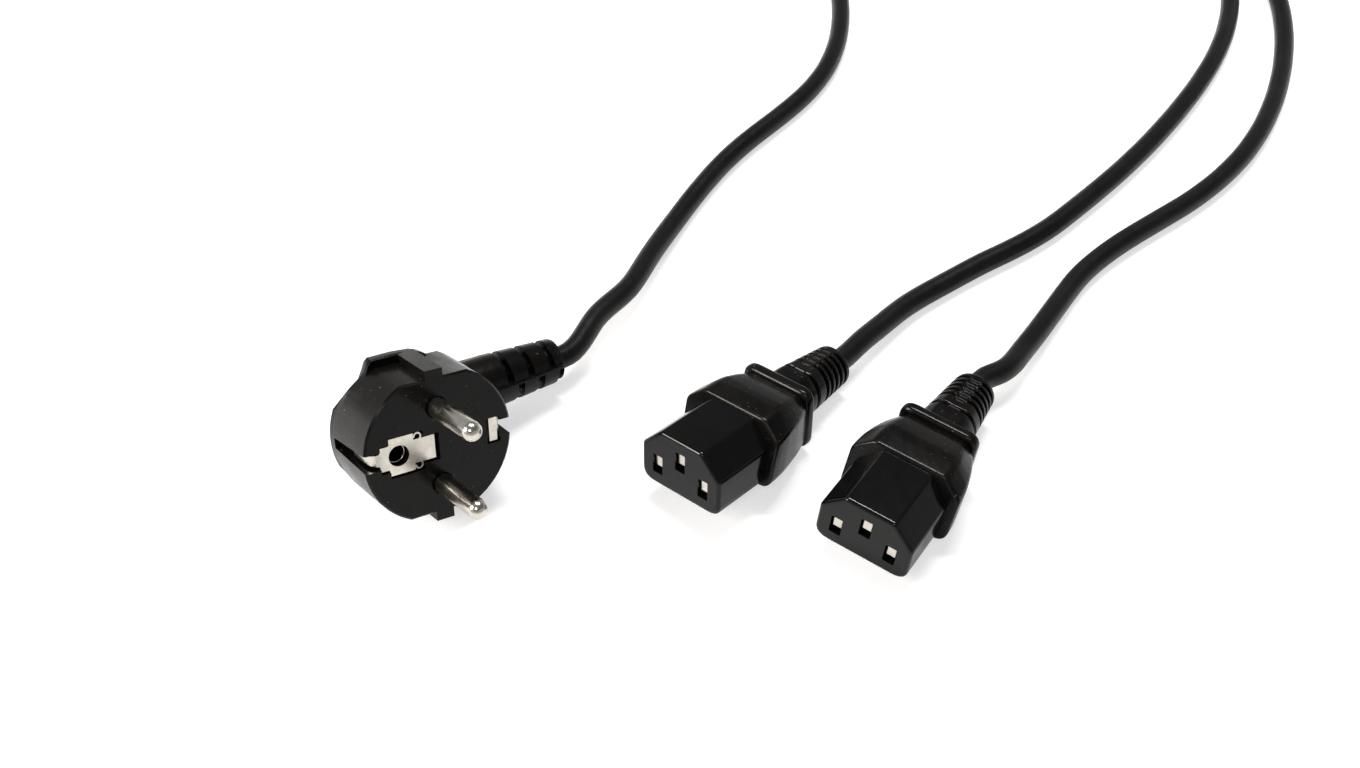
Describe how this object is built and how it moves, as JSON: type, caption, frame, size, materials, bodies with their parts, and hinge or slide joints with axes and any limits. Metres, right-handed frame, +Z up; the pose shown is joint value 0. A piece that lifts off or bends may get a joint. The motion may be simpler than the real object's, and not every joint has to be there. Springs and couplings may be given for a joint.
{
  "type": "power cord splitter",
  "caption": "Black Y power cord: an angled earthed plug, a splitter block and short branches that end in straight appliance connectors, with the long run coiled.",
  "frame": {"origin": "floor point under the centre of the box of the rigid pieces (plug, connectors and splitter block), cords left out", "axes": "+Z up from the floor that everything lies on; -Y is the side that the picture is taken from, with the plug and the two connectors; the splitter block and the coil lie towards +Y"},
  "size_m": [0.2887, 0.3886, 0.0404],
  "materials": {
    "soft_black": "satin, fine moulded grain",
    "gloss_black": "gloss",
    "cord_black": "satin",
    "nickel": "bright plated",
    "brown_core": "satin",
    "blue_core": "satin",
    "earth_core": "satin",
    "crimp": "bright",
    "tie_black": "matt"
  },
  "bodies": {
    "root": {"plug_body": "soft_black", "plug_pin_bridge": "gloss_black", "plug_line_pin": "nickel", "plug_neutral_pin": "nickel", "plug_earth_strip": "nickel", "plug_earth_sleeve": "nickel", "plug_line_core": "brown_core", "plug_neutral_core": "blue_core", "plug_earth_core": "earth_core", "left_connector_body": "soft_black", "left_connector_insert": "gloss_black", "left_connector_line_contact": "nickel", "left_connector_line_core": "brown_core", "left_connector_neutral_contact": "nickel", "left_connector_neutral_core": "blue_core", "left_connector_earth_contact": "nickel", "left_connector_earth_core": "earth_core", "right_connector_body": "soft_black", "right_connector_insert": "gloss_black", "right_connector_line_contact": "nickel", "right_connector_line_core": "brown_core", "right_connector_neutral_contact": "nickel", "right_connector_neutral_core": "blue_core", "right_connector_earth_contact": "nickel", "right_connector_earth_core": "earth_core", "splitter_body": "soft_black", "splitter_line_splice": "crimp", "splitter_neutral_splice": "crimp", "splitter_earth_splice": "crimp", "main_cord_plug_run": "cord_black", "main_cord_coil": "cord_black", "main_cord_block_run": "cord_black", "left_branch_cord": "cord_black", "right_branch_cord": "cord_black", "coil_tie": "tie_black"}
  },
  "joints": []
}
